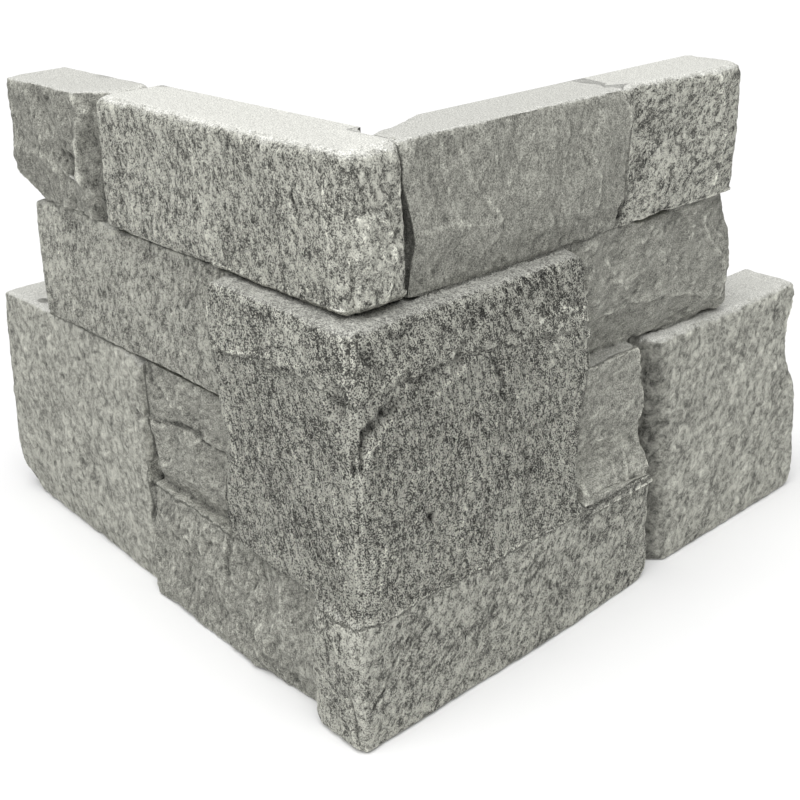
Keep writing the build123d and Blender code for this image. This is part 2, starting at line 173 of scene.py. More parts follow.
# Marks on single stones, each a line on a wing: along the wing and up. Then its reach to either side,
# how far it stands out, and how much paler it is, with cracks and hollows below zero. MARK_PUSH and
# MARK_TONE scale these two for all marks.
MARK_PUSH, MARK_TONE = 1.5, 1.6
MARKS = [
    # great corner stone
    ("left", [(-46, 125), (-30, 127), (-19, 130), (8, 133)], 1.2, 0.5, 0.10),
    ("left", [(24, 127), (25, 124)], 2.4, -1.0, -0.14),
    ("right", [(-33, 105), (-32, 111), (-29, 116), (-24, 120), (-18, 122)], 2.2, -1.5, -0.22),
    ("right", [(-30, 105), (-28, 111), (-22, 116)], 1.3, 0.5, 0.07),
    ("right", [(-31, 147), (-29, 142), (-24, 137), (-23, 132)], 1.6, -0.7, -0.13),
    ("right", [(-20, 147), (-16, 143), (-10, 144)], 1.4, -0.6, -0.12),
    ("right", [(8, 126), (12, 132), (17, 137), (19, 144)], 2.0, -0.8, -0.12),
    ("right", [(-14, 128), (-6, 126), (2, 128)], 1.5, -0.5, -0.08),
    ("right", [(-26, 128), (-17, 131), (-8, 137)], 1.2, 0.4, 0.06),
    ("right", [(26, 112), (34, 107), (42, 106)], 1.2, 0.4, 0.06),
    ("right", [(30, 96), (44, 91), (60, 92)], 1.3, -0.4, -0.06),
    ("left", [(-38, 110), (-34, 88), (-32, 70)], 1.2, 0.3, 0.05),
    ("left", [(-20, 120), (-16, 96), (-12, 70), (-10, 52)], 1.0, -0.4, -0.06),
    ("left", [(8, 118), (10, 96), (14, 76)], 1.0, -0.4, -0.06),
    ("left", [(20, 96), (22, 76), (24, 58)], 1.1, 0.4, 0.06),
    ("right", [(0, 119), (9, 124), (16, 127)], 1.2, 0.6, 0.10),
    ("right", [(47, 131), (56, 133), (65, 131), (71, 124), (74, 118)], 1.0, 0.5, 0.10),
    ("right", [(21, 149), (21, 128)], 0.9, -0.3, -0.05),
    ("right", [(27, 121), (29, 110), (34, 104)], 1.6, -0.8, -0.12),
    ("right", [(42, 84), (44, 76), (43, 66)], 2.2, -0.6, -0.08),
    ("right", [(14, 86), (11, 72), (8, 60)], 1.1, 0.4, 0.07),
    ("right", [(-26, 88), (-25, 74), (-28, 54)], 1.0, 0.4, 0.09),
    ("right", [(-4, 77), (-4, 76)], 1.4, -1.1, -0.22),
    # top course
    ("left", [(-132, 199), (-127, 194), (-132, 184), (-133, 174), (-132, 165), (-123, 155)],
     1.6, 0.9, 0.10),
    ("left", [(-171, 172), (-163, 173), (-156, 171)], 1.0, 0.5, 0.05),
    ("left", [(-146, 176), (-142, 170)], 5.0, -0.9, -0.07),
    ("left", [(-160, 190), (-158, 178), (-150, 160)], 1.2, 0.4, 0.04),
    ("left", [(-55, 199), (-53, 182), (-50, 166), (-47, 152)], 1.6, 0.5, 0.06),
    ("left", [(15, 192), (17, 172), (19, 152)], 1.8, 0.4, 0.06),
    ("left", [(-2, 184), (0, 180), (2, 179)], 0.9, -0.6, -0.15),
    ("right", [(-25, 166), (-22, 176), (-17, 181), (-12, 177), (-11, 166), (-14, 155)], 1.3, 0.6, 0.08),
    ("right", [(12, 196), (14, 184), (17, 168)], 1.0, 0.4, 0.05),
    ("right", [(21, 193), (24, 182), (30, 174), (34, 168)], 1.0, 0.4, 0.07),
    ("right", [(34, 168), (42, 182), (52, 192)], 1.2, 0.3, 0.05),
    ("right", [(68, 192), (69, 184), (67, 176)], 1.2, 0.5, 0.06),
    ("right", [(80, 180), (84, 172), (82, 162)], 1.3, 0.5, 0.06),
    ("right", [(2, 171), (14, 170), (33, 167)], 1.0, 0.3, 0.05),
    ("right", [(54, 157), (62, 161), (72, 160), (80, 157)], 1.6, -0.5, -0.05),
    ("right", [(95, 152), (99, 161), (100, 171), (101, 187), (98, 199)], 0.9, 0.2, 0.08),
    ("right", [(98, 158), (98, 154)], 2.6, -1.6, -0.20),
    ("right", [(150, 198), (154, 185), (155, 170), (152, 156)], 1.5, 0.5, 0.07),
    # third course
    ("left", [(-166, 149), (-162, 130), (-152, 104)], 1.5, 0.4, 0.04),
    ("right", [(84, 118), (101, 117), (125, 118), (151, 112), (165, 113)], 1.3, 0.5, 0.05),
    ("right", [(150, 147), (153, 135), (160, 128), (166, 120), (163, 107)], 1.3, 0.7, 0.08),
    ("right", [(158, 148), (158, 137), (168, 128)], 1.0, 0.5, 0.06),
    ("right", [(92, 140), (97, 131), (103, 126)], 1.4, 0.6, 0.05),
    # lower courses
    ("left", [(-112, 76), (-101, 75), (-85, 79), (-75, 80), (-65, 78), (-46, 75)], 1.1, -1.0, -0.14),
    ("left", [(-98, 92), (-90, 86), (-80, 88)], 1.6, 0.6, 0.04),
    ("right", [(89, 69), (97, 67), (105, 64), (99, 50)], 1.1, 0.4, 0.06),
    ("right", [(111, 99), (116, 84), (112, 72)], 1.1, 0.5, 0.07),
    ("left", [(27, 22), (29, 13), (29, 7), (31, 3)], 0.9, -0.8, -0.14),
    ("right", [(-24, 30), (-28, 22), (-33, 17)], 1.0, -0.7, -0.12),
    ("left", [(-96, 40), (-90, 34), (-80, 36)], 1.4, -0.7, -0.08),
    # joints and edges: pale lines on the great corner stone's rims are painted highlights, dark lines beside
    # it and in the joints painted shade
    ("left", [(-47, 150), (-46.5, 101)], 0.9, -0.5, -0.16),
    ("left", [(-44, 150), (-43.5, 100), (-43, 56)], 0.8, 0.3, 0.12),
    ("left", [(-30, 48), (0, 48), (27, 48)], 0.7, 0.4, 0.10),
    ("right", [(-27, 48), (30, 48), (73, 48)], 0.7, 0.4, 0.10),
    ("right", [(72.5, 150), (72.5, 100), (73, 52)], 0.8, 0.2, 0.12),
    ("left", [(-104, 101), (-104.5, 92)], 1.6, -0.5, -0.22),
    ("left", [(-106, 47), (-106, 1)], 0.7, -0.3, -0.16),
    ("left", [(6.5, 46), (6.5, 1)], 0.7, -0.3, -0.14),
    ("left", [(-84, 14), (-70, 10), (-55, 12)], 4.0, -0.8, -0.05),
    ("left", [(-40, 12), (-24, 6), (-10, 10)], 3.5, -0.8, -0.05),
]

# Patches, each on a wing: the lowest and highest place along it and up, then paler or darker, more or
# fewer pits, and how far the patch stands out.
PATCHES = [
    ("left", -50, -18, 127, 153, 0.03, 0.10, 0.7),
    ("left", -18, 36, 132, 153, 0.03, 0.10, 0.7),
    ("right", -34, 21, 128, 153, 0.02, 0.0, 0.0),
    ("right", 21, 80, 130, 153, -0.04, 0.25, 0.4),
    ("right", 47, 80, 117, 132, 0.03, 0.10, 0.6),
    ("right", 139, 152, 150, 202, 0.03, -0.20, 0.0),
    ("right", -25, -13, 153, 181, 0.03, -0.10, 0.7),
    ("left", -186, -163, 100, 150, 0.03, -0.25, 0.0),
    ("right", -1, 36, 150, 168, -0.03, 0.0, -0.3),
    ("right", 36, 100, 150, 159, -0.03, 0.0, -0.2),
    ("left", -131, -121, 150, 191, -0.08, 0.30, 0.0),
    # These two: painted shade on the end of the tall right block, deep beside the narrow gap before it
    ("right", 116.5, 126, -2, 101, -0.22, 0.40, 0.0),
    ("right", 126, 130, -2, 101, -0.10, 0.30, 0.0),
]

# Where one stone ends and the next begins: along the left wing, along the right wing, the end of the top
# split stone by height, and up
TIP_LEFT_END, STRETCHER_LEFT_END, BLOCK_LEFT_END, FILLER_LEFT_END, BASE_SPLIT_END = -119.5, -44, -107, -43, 7
TOP_HEAD_END, GREAT_RIGHT_END, BLOCK_RIGHT_START = -5, 73, 118
SPLIT_TOP_END = ([150, 160, 170, 187, 200], [95, 99, 100, 102, 98])
TOP_COURSE, GREAT_LOW, FILLER_LEFT_LOW, FILLER_RIGHT_LOW = 150.2, 47.6, 45.6, 49.2

# How round the arris is worn at the top corner stone, at the bed under it, at the great corner stone and
# at the bottom stone: lowest and highest place, how far the right and the left face stand out, and the
# radius.
ARRIS = [
    (150.3, 201, 25.9, 28.1, 6.8),
    (149.5, 150.3, 24.5, 26.5, 6.5),
    (47.8, 149.4, 32, 35, 5.0),
    (-1, 47.8, 33, 39, 4.0),
]
ARRIS_REACH = 3

# The far end of the tall right block: how far it stands out, and the place of its end and the radius of
# its corner by height
BLOCK_OUT = 28.5
BLOCK_END = ([0, 25, 50, 75, 100], [229.4, 228.4, 223.4, 214.4, 217.4])
BLOCK_ROUND = ([50, 85], [3.0, 6.5])

# The gap beside the head of the top corner stone is drawn together. Along the right wing, what lies at
# HEAD_PULLED moves by HEAD_GROWS, what lies at SPLIT_PULLED moves to GAP_EDGE and a wedge beyond it, and
# nothing moves before PULL_START or past PULL_END. Then the wedge's width, middle and half height.
PULL_START, HEAD_PULLED, SPLIT_PULLED, PULL_END = -16, -8, 4, 14
HEAD_GROWS = 2.2
GAP_EDGE, WEDGE_WIDE, WEDGE_MIDDLE, WEDGE_HALF = -3.6, 3.0, 168, 12

# How much prouder the top corner stone stands at its foot and at its top
PROUDER = ([BED_3, TOP], [1.6, 0.9])

# The foot of the small right stone: how far the stone below stands out, and the share of the way to there
# that the foot swells
LEDGE_OUT, SWELL = 33, 0.85


def bent(dx, dy):
    """How much a place in a square corner is drawn in, so that the corner turns round."""
    dx, dy = np.maximum(dx, 0.001), np.maximum(dy, 0.001)
    return np.maximum(dx, dy) / np.sqrt(dx * dx + dy * dy)


def stood_out(x, y, z):
    """The top corner stone a little prouder, most at its foot."""
    prouder = (z > BED_3 + LIFT) * np.interp(z, *PROUDER)
    head = smooth(10, 20, x) * (y < -6)
    y = y - prouder * smooth(10, 20, -y) * smooth(-121, -117, x)
    return x + prouder * head * 0.9, y


def arris_bent(x, y, z):
    """The arris of each course worn round."""
    for low, high, right, left, radius in ARRIS:
        dx, dy = x - (right - radius), -y - (left - radius)
        corner = (dx > 0) & (dy > 0) & (z > low) & (z <= high) & (np.maximum(dx, dy) < radius + ARRIS_REACH)
        scale = np.where(corner, bent(dx, dy), 1)
        x = np.where(corner, right - radius + dx * scale, x)
        y = np.where(corner, radius - left - dy * scale, y)
    return x, y


def block_end_bent(x, y, z):
    """The far corner of the tall right block worn round."""
    far, radius = np.interp(z, *BLOCK_END), np.interp(z, *BLOCK_ROUND)
    dx, dy = x - (BLOCK_OUT - radius), y - (far - radius)
    corner = (dx > 0) & (dy > 0) & (z < BED_2 + 1)
    scale = np.where(corner, bent(dx, dy), 1)
    x = np.where(corner, BLOCK_OUT - radius + dx * scale, x)
    y = np.where(corner, far - radius + dy * scale, y)
    return x, y


def gap_narrowed(x, y, z):
    """The gap beside the head of the top corner stone as a narrow wedge, widest below the middle."""
    edge = GAP_EDGE + WEDGE_WIDE * np.exp(-((z - WEDGE_MIDDLE) / WEDGE_HALF) ** 2)
    moved = np.interp(y, [HEAD_PULLED, SPLIT_PULLED, PULL_END], [0, 1, 0]) * (edge - SPLIT_PULLED)
    moved += np.interp(y, [PULL_START, HEAD_PULLED, SPLIT_PULLED], [0, 1, 0]) * HEAD_GROWS
    return y + moved * smooth(0.0, 8, x) * (z > BED_3 + LIFT)


def foot_swollen(x, y, z):
    """The small right stone swelling out at its foot, to the face of the stone below."""
    swell = smooth(64, 50, z)
    swell = swell * smooth(GREAT_RIGHT_END, GREAT_RIGHT_END + 4, y)
    swell = swell * smooth(BLOCK_RIGHT_START, BLOCK_RIGHT_START - 6, y)
    swell = swell * (x > 16) * (x < LEDGE_OUT) * (z > 45)
    return x + (LEDGE_OUT - x) * SWELL * swell


def eased(p):
    """Points with the worn corners bent round, and with what lies between the stones drawn to its place."""
    x, y, z = p.T.copy()
    x, y = stood_out(x, y, z)
    x, y = arris_bent(x, y, z)
    x, y = block_end_bent(x, y, z)
    y = gap_narrowed(x, y, z)
    x = foot_swollen(x, y, z)
    return np.stack([x, y, z], axis=1)


# Stones that turn the corner, with their names on the left and the right wing
HALVES = {"top_corner": "top_head", "great_left": "great_right", "base_left": "base_right"}


def stones_of(p, n):
    """Index of the stone that each point belongs to, and how far it faces the left, 0 to 1."""
    x, y, z = p.T
    turn = np.where(np.hypot(n[:, 0], n[:, 1]) > 0.5, -n[:, 1] - n[:, 0], (-y - x) / 4)
    side = np.where(x < -1, 1.0, np.where(y > -8, 0.0, smooth(-0.8, 0.8, turn)))
    left = side > 0.5
    split_top_end = np.where(n[:, 2] > 0.8, 98, np.interp(z, *SPLIT_TOP_END))
    top_course, third_course = z > TOP_COURSE, z > BED_2
    # The first row that holds names the stone
    on_left = [
        ("tip_left", top_course & (x < TIP_LEFT_END)),
        ("top_corner", top_course),
        ("stretcher_left", third_course & (x < STRETCHER_LEFT_END)),
        ("great_left", third_course),
        ("block_left", x < BLOCK_LEFT_END),
        ("filler_left", (z > FILLER_LEFT_LOW) & (x < FILLER_LEFT_END)),
        ("great_left", z > GREAT_LOW),
        ("base_split", x < BASE_SPLIT_END),
        ("base_left", z <= GREAT_LOW),
    ]
    on_right = [
        ("top_head", top_course & (y < TOP_HEAD_END)),
        ("split_top", top_course & (y < split_top_end)),
        ("tip_right", top_course),
        ("great_right", third_course & (y < GREAT_RIGHT_END)),
        ("stretcher_right", third_course),
        ("block_right", y > BLOCK_RIGHT_START),
        ("filler_right", (z > FILLER_RIGHT_LOW) & (y > GREAT_RIGHT_END)),
        ("great_right", z > GREAT_LOW),
        ("base_right", z <= GREAT_LOW),
    ]
    a, b = [np.select([here for _, here in wing], [NAMES.index(name) for name, _ in wing])
            for wing in (on_left, on_right)]
    stone = np.where(left, a, b)
    seen_left, seen_right = stone.copy(), stone.copy()
    for one, other in HALVES.items():
        one, other = NAMES.index(one), NAMES.index(other)
        seen_left[stone == other] = one
        seen_right[stone == one] = other
    return stone, seen_left, seen_right, side


def blended(column, seen_left, seen_right, side):
    """A column of the table at each point, eased round the arris."""
    return side * TABLE[seen_left, column] + (1 - side) * TABLE[seen_right, column]


# The great corner stone's grain: where its streaks on the right wing fan out from and how wide they
# open, and how low its coarser head reaches
FAN_Y, FAN_Z, FAN_OPEN = -42, 168, 70
HEAD_LOW, HEAD_COARSER, HEAD_DRAWN = 129, 1.55, 1.2


def grain_of(p, stone, left):
    """Coordinates of the grain, in cells: along it, across it and out of the face."""
    x, y, z = p.T
    along, out = (x, -y) if left else (y, x)
    size, drawn, lean = TABLE[stone, SIZE], TABLE[stone, DRAWN], np.radians(TABLE[stone, LEAN])
    up = z * np.cos(lean) + along * np.sin(lean)
    across = along * np.cos(lean) - z * np.sin(lean)
    if not left:
        # The streaks of the great corner stone fan out from above its arris
        beside, below = y - FAN_Y, FAN_Z - z
        reach = np.hypot(beside, below)
        fan = np.arctan2(beside, below) * np.sqrt(np.maximum(reach, 1) * FAN_OPEN)
        great = stone == NAMES.index("great_right")
        up, across = np.where(great, -reach, up), np.where(great, fan, across)
    # The head of the great corner stone is coarser
    great = (stone == NAMES.index("great_left")) | (stone == NAMES.index("great_right"))
    head = great & (z + 2.5 * noise(p / 7.0 + 41.0) > HEAD_LOW - 0.08 * np.abs(along))
    size, drawn = np.where(head, size * HEAD_COARSER, size), np.where(head, HEAD_DRAWN, drawn)
    return np.stack([up / (size * drawn) + stone * 37.0, across / size, out / size], axis=1)


def marks_at(p, side):
    """How far the marks stand out at each point, how much paler it is, and how many more pits it has."""
    on_left, on_right = marks_on(p, side, "left"), marks_on(p, 1 - side, "right")
    return [a + b for a, b in zip(on_left, on_right)]


def marks_on(p, share, face):
    """The same for the marks and patches of one face, where each point's share in that face is given."""
    along = p[:, 0] if face == "left" else p[:, 1]
    spot = np.stack([along, p[:, 2]], axis=1)
    push, pale, more = np.zeros(len(p)), np.zeros(len(p)), np.zeros(len(p))
    wander = np.stack([noise(p / 6.0 + 11.0), noise(p / 6.0 + 23.0)], axis=1) * 1.1
    spot = spot + wander
    for wing, line, reach, stand, paler in MARKS:
        if wing != face:
            continue
        line = np.array(line, float)
        low, high = line.min(0) - 3 * reach, line.max(0) + 3 * reach
        near = np.flatnonzero((share > 0) & np.all((spot > low) & (spot < high), axis=1))
        away = np.full(len(near), 1e9)
        for a, b in zip(line[:-1], line[1:]):
            t = np.clip((spot[near] - a) @ (b - a) / ((b - a) @ (b - a)), 0, 1)
            away = np.minimum(away, np.linalg.norm(spot[near] - a - t[:, None] * (b - a), axis=1))
        broken = 0.75 + 0.7 * noise(p[near] / 4.0 + 3.0)
        weight = np.exp(-(away / reach) ** 2) * np.clip(broken, 0.15, 1.2) * share[near]
        push[near] += MARK_PUSH * stand * weight
        pale[near] += MARK_TONE * paler * weight
    for wing, low_a, high_a, low_z, high_z, paler, pits, lift in PATCHES:
        if wing != face:
            continue
        inside = smooth(-0.9, 0.9, spot[:, 0] - low_a) * smooth(-0.9, 0.9, high_a - spot[:, 0])
        inside = inside * smooth(-0.7, 0.7, spot[:, 1] - low_z) * smooth(-0.7, 0.7, high_z - spot[:, 1])
        inside = inside * share
        pale += paler * inside
        more += pits * inside
        push += lift * inside
    return push, pale, more


# The body: the solid's own surface, remeshed fine, then weathered
SAME_PLACE = 0.00001
plain = bpy.data.objects.new("plain", node.data.copy())
bpy.context.scene.collection.objects.link(plain)
weld = plain.modifiers.new("weld", "WELD")
weld.merge_threshold = SAME_PLACE
remesh = plain.modifiers.new("remesh", "REMESH")
remesh.mode = "VOXEL"
remesh.voxel_size = VOXEL / 1000
bpy.context.view_layer.update()
graph = bpy.context.evaluated_depsgraph_get()
mesh = bpy.data.meshes.new_from_object(plain.evaluated_get(graph))
bpy.data.objects.remove(plain)

p, n, edges = moved_to(mesh, eased(arrays(mesh)[0]))
n = spread(n, edges, 2)
n /= np.linalg.norm(n, axis=1, keepdims=True)
stone, seen_left, seen_right, side = stones_of(p, n)
split = TABLE[stone, SPLIT]
relief = blended(RELIEF, seen_left, seen_right, side)
x, y, z = p.T

# Rounds of smoothing that show rims and joints closely, wear the rims round, and melt away the joint under
# the great corner stone. Then the height of that joint, and the share of it that melts away.
CLOSE_ROUNDS, WORN_ROUNDS, MELT_ROUNDS = 5, 44, 40
MELT_MIDDLE, MELT_SHARE = 47.5, 0.9

# Parts that stay as cast: the back, the underside, and to a lesser degree the tops
back = ((x < 0) & (y > -0.6)) | ((y > 0) & (x < 0.6)) & (z > 0)
front = np.maximum(-n[:, 1] * (y < 0), n[:, 0] * (x > 0))
rough = np.clip(0.15 + smooth(-0.1, 0.45, front), 0, 1)
rough *= ~back * smooth(0.0, 1.6, z)
rough *= 1 - 0.65 * smooth(0.6, 0.9, n[:, 2])

# Convex rims and concave joints, from how far a smoothed surface lies from the surface
close_sag = sag_of(p, n, spread(p, edges, CLOSE_ROUNDS))
# A painted highlight in the material along the sharp convex rims
rim_highlight = smooth(0.22, 0.5, -close_sag) * smooth(0.0, 1.6, z)
rim_highlight = spread(rim_highlight * ~back, edges, 3)
# Painted shade in the material in the concave creases of the joints
crease_shade = smooth(0.16, 0.42, close_sag) * ~back
crease_shade = spread(crease_shade, edges, 1)
soft = spread(p, edges, WORN_ROUNDS)
sag = sag_of(p, n, soft)
inward = np.where(x < 0, -y, np.where(y > 0, x, np.maximum(x, -y)))
rim = smooth(0.1, 0.5, -sag) * smooth(1.0, 5.0, inward) * smooth(0.0, 1.6, z)
joint = smooth(0.2, 0.9, sag)
ease = rim * (1 - joint) * smooth(-0.35, -0.05, n[:, 2]) * TABLE[stone, WORN]
ease *= smooth(2.0, 6.0, inward) * (1 - 2.8 * side * (1 - side) * smooth(0.6, 0.2, n[:, 2]))
pull = (soft - p) * ease[:, None]
pull[:, 2] *= smooth(0.0, 0.35, n[:, 2])
p = p + pull
beside = np.clip(3 * spread(joint, edges, 12), 0, 1)
melt = smooth(7.5, 3.5, np.abs(z - MELT_MIDDLE)) * (x > FILLER_LEFT_END) * (y < GREAT_RIGHT_END) * ~back
melt = spread(melt, edges, 4)
p = p + (spread(soft, edges, MELT_ROUNDS) - p) * melt[:, None] * MELT_SHARE
beside = beside * (1 - melt)

# Relief in millimetres: worn stones are gently uneven, split ones have shells, chips and flakes. These are
# the sizes of each, how far the shells are warped, how deep they go, and the size of the areas with chips
# and with flakes. A number added inside noise or scallops only shifts it.
LUMP, WARP, WARPED_BY = 15.0, 11.0, 3.0
SHELL, CHIP, FLAKE = stretch(17.0, 26.0), 6.5, stretch(21.0, 34.0)
SHELL_DEEP, CHIP_DEEP, FLAKE_DEEP = 2.6, 1.2, 0.7
CHIP_AREA, FLAKE_AREA = 20.0, 24.0
grain_left, grain_right = grain_of(p, seen_left, True), grain_of(p, seen_right, False)


def grain_noise(size, shift):
    """Noise in cells of so many grains, drawn out along the grain and eased round the arris."""
    return side * noise(grain_left / size + shift) + (1 - side) * noise(grain_right / size + shift)


big = noise(p / LUMP)
mid = grain_noise(3.0, 7.3)
fine = grain_noise(1.5, 31.7)
worn_height = 0.75 * big + 0.75 * mid + 0.45 * fine - 0.1
warped = p + WARPED_BY * np.stack([noise(p / WARP + shift) for shift in (0.0, 9.1, 3.7)], axis=1)
shells = scallops(warped / SHELL)
chips = scallops(warped / CHIP + 5.5)
chipped = smooth(-0.2, 0.5, noise(p / CHIP_AREA + 5.0))
flaked = 1.7 * noise(warped / FLAKE + 13.0)
flakes = np.floor(flaked) + smooth(0.80, 1.0, flaked - np.floor(flaked)) - flaked
flakes *= smooth(-0.1, 0.5, noise(p / FLAKE_AREA + 17.0))
split_height = SHELL_DEEP * (shells - 0.5) + CHIP_DEEP * chipped * (chips - 0.5) + FLAKE_DEEP * flakes
split_height += 0.5 * big + 0.4 * fine
split_height *= 1 - 0.4 * rim
worn_height *= 1 - 0.55 * rim
height = np.where(split > 0.5, split_height, worn_height) * relief * rough * (1 - 0.9 * beside)
height -= rim * 0.5 * np.maximum(noise(p / 9.0), 0) * (1 - beside)
push, pale, more = marks_at(p, side)
height += push * rough * (1 - 0.6 * beside)
low, high = np.array(cad_low) * 1000 + BOX_MARGIN, np.array(cad_high) * 1000 - BOX_MARGIN

# Where the weathered surface stands out or lies deep, closely and widely
p, n, edges = moved_to(mesh, np.clip(p + n * height[:, None], low, high))
near_sag = sag_of(p, n, spread(p, edges, 3))
wide_sag = sag_of(p, n, spread(p, edges, 30))
# Ridges and hollows, wide gaps, rims and creases: these drive painted highlights and painted shade in the
# material
depths = {"ridge_light_and_hollow_shade": np.clip(near_sag * 4.0, -1, 1), "gap": np.clip(wide_sag / 2.0, -1, 1),
          "rim": rim_highlight, "crease_shade": crease_shade * (1 - melt)}
for name, value in depths.items():
    mesh.attributes.new(name, "FLOAT", "POINT").data.foreach_set("value", value.astype(np.float32))

body = bpy.data.objects.new("stone_panel", mesh)
bpy.context.scene.collection.objects.link(body)
count = sum(len(f.vertices) - 2 for f in mesh.polygons)
thin = body.modifiers.new("thin", "DECIMATE")
thin.ratio = min(1.0, TRIANGLES / count)
bpy.context.view_layer.update()
graph = bpy.context.evaluated_depsgraph_get()
mesh = bpy.data.meshes.new_from_object(body.evaluated_get(graph))
body.modifiers.clear()
body.data = mesh
print("triangles", count, "kept", sum(len(f.vertices) - 2 for f in mesh.polygons))

# Only the largest shell stays, without the bubbles of the remesh
p, n, edges = arrays(mesh)
a, b = edges.T
shell, before = np.arange(len(p)), None
while before is None or np.any(shell != before):
    before = shell.copy()
    np.minimum.at(shell, a, before[b])
    np.minimum.at(shell, b, before[a])
    for _ in range(4):
        shell = shell[shell]
rest = np.flatnonzero(shell != np.bincount(shell).argmax())
if len(rest):
    cleaned = bmesh.new()
    cleaned.from_mesh(mesh)
    cleaned.verts.ensure_lookup_table()
    bmesh.ops.delete(cleaned, geom=[cleaned.verts[i] for i in rest.tolist()], context="VERTS")
    cleaned.to_mesh(mesh)
    cleaned.free()

# What the material reads at each vertex. The tone of marks counts by one share, the inside of the gap in the
# top course gets painted shadow, darker by the other, and lies between these two places along the right
# wing, and edges are drawn sharp from this angle in degrees.
PALE_SHARE, SLOT_SHADOW, SLOT_START, SLOT_END, SHARP_FROM = 2.2, 0.35, -9, 3, 60
p, n, edges = arrays(mesh)
p = np.clip(p, low, high)
moved_to(mesh, p)
stone, seen_left, seen_right, side = stones_of(p, n)
push, pale, more = marks_at(p, side)
columns = {"split": SPLIT, "ground": GROUND, "contrast": CONTRAST, "pits": PITS, "dark": DARK,
           "grit": GRIT, "bed": BED, "shows": SHOWS}
values = {name: blended(column, seen_left, seen_right, side) for name, column in columns.items()}
values["ground"] = values["ground"] * (1 + PALE_SHARE * pale)
x, y, z = p.T
# Painted shadow on the wall of the split top stone that faces into the gap beside the top corner stone's
# head
slot_shadow = (z > BED_3 + LIFT) & (x > 1) & (y > SLOT_START) & (y < SLOT_END)
slot_shadow &= (n[:, 1] < -0.55) & (n[:, 2] < 0.5)
values["ground"] *= np.where(slot_shadow, SLOT_SHADOW, 1.0)
values["pits"] = values["pits"] + more
values["side"] = side
for name, value in values.items():
    mesh.attributes.new(name, "FLOAT", "POINT").data.foreach_set("value", value.astype(np.float32))
vectors = {"grain_left": grain_of(p, seen_left, True), "grain_right": grain_of(p, seen_right, False)}
for name, value in vectors.items():
    mesh.attributes.new(name, "FLOAT_VECTOR", "POINT").data.foreach_set(
        "vector", value.astype(np.float32).ravel())
mesh.shade_smooth()
mesh.set_sharp_from_angle(angle=math.radians(SHARP_FROM))


class Nodes:
    """Short calls for building a material's nodes."""

    def __init__(self, tree):
        self.tree = tree

    def add(self, kind, inputs=(), **settings):
        made = self.tree.nodes.new(kind)
        for key, value in settings.items():
            setattr(made, key, value)
        for key, value in dict(inputs).items():
            if isinstance(value, bpy.types.NodeSocket):
                self.tree.links.new(value, made.inputs[key])
            else:
                made.inputs[key].default_value = value
        return made

    def attribute(self, name, output="Fac"):
        return self.add("ShaderNodeAttribute", attribute_name=name).outputs[output]

    def math(self, operation, a, b=0.0, c=0.0):
        return self.add("ShaderNodeMath", {0: a, 1: b, 2: c}, operation=operation).outputs[0]

    def ramp(self, x, low, high, to_low=0.0, to_high=1.0):
        return self.add("ShaderNodeMapRange", {0: x, 1: low, 2: high, 3: to_low, 4: to_high},
                        interpolation_type="SMOOTHSTEP").outputs[0]

    def noise(self, vector, scale, detail=2.0, rough=0.5, warp=0.0):
        return self.add("ShaderNodeTexNoise", {"Vector": vector, "Scale": scale, "Detail": detail,
                                               "Roughness": rough, "Distortion": warp}).outputs["Fac"]

    def mix(self, amount, a, b):
        made = self.add("ShaderNodeMix", data_type="FLOAT")
        for socket, value in ((0, amount), (2, a), (3, b)):
            if isinstance(value, bpy.types.NodeSocket):
                self.tree.links.new(value, made.inputs[socket])
            else:
                made.inputs[socket].default_value = value
        return made.outputs[0]


# The material: weathered stone
stone_mat = bpy.data.materials.new("weathered_stone")
stone_mat.use_nodes = True
tree = stone_mat.node_tree
tree.nodes.clear()
k = Nodes(tree)
output = k.add("ShaderNodeOutputMaterial")
place = k.add("ShaderNodeTexCoord").outputs["Object"]
left_at, right_at = k.attribute("grain_left", "Vector"), k.attribute("grain_right", "Vector")
side = k.attribute("side")
is_split, ground, contrast = k.attribute("split"), k.attribute("ground"), k.attribute("contrast")
pits, dark, grit = k.attribute("pits"), k.attribute("dark"), k.attribute("grit")
ridge_light_and_hollow_shade, gap, rim = k.attribute("ridge_light_and_hollow_shade"), k.attribute("gap"), k.attribute("rim")


def about(x, amount):
    """One, plus or minus the amount times how far x lies from a half."""
    return k.math("MULTIPLY_ADD", k.math("SUBTRACT", x, 0.5), amount, 1.0)


def mottle(at):
    """The mottled pattern of the grain."""
    return k.noise(at, 0.45, 4.0, 0.8, 0.3)


def pit_depth(at):
    """The pattern that is low where the pits are."""
    return k.noise(at, 0.8, 3.0, 0.6, 0.4)


# Grain at every scale from a third of a millimetre to a fingertip, pale grounds and pits painted dark,
# partly their own tone and partly painted shade
patch = k.noise(place, 70.0, 2.0, 0.5)
sand = k.noise(place, 1900.0, 1.0, 0.8)
depth = k.mix(side, mottle(right_at), mottle(left_at))
swing = k.math("MULTIPLY", k.math("SUBTRACT", depth, 0.5), contrast)
blotch = k.math("MULTIPLY", contrast, k.mix(is_split, 0.20, 0.13))
swing = k.math("MULTIPLY_ADD", k.math("SUBTRACT", patch, 0.5), blotch, swing)
swing = k.math("MULTIPLY_ADD", k.math("MULTIPLY", k.math("SUBTRACT", sand, 0.5), 3.2), grit, swing)
hole = k.mix(side, pit_depth(right_at), pit_depth(left_at))
hole = k.math("MULTIPLY_ADD", k.math("SUBTRACT", patch, 0.5), 0.15, hole)
hole = k.math("SUBTRACT", hole, k.math("MULTIPLY_ADD", pits, 0.16, 0.32))
pit = k.ramp(hole, -0.06, 0.02, 1.0, 0.0)
worn_tone = k.math("MULTIPLY", ground, k.ramp(swing, -1.3, 1.1, 0.20, 1.62))
# The pits darkened: partly their own darker grain, partly painted shade in the cavities
worn_tone = k.math("MULTIPLY", worn_tone, k.math("SUBTRACT", 1.0, k.math("MULTIPLY", pit, dark)))

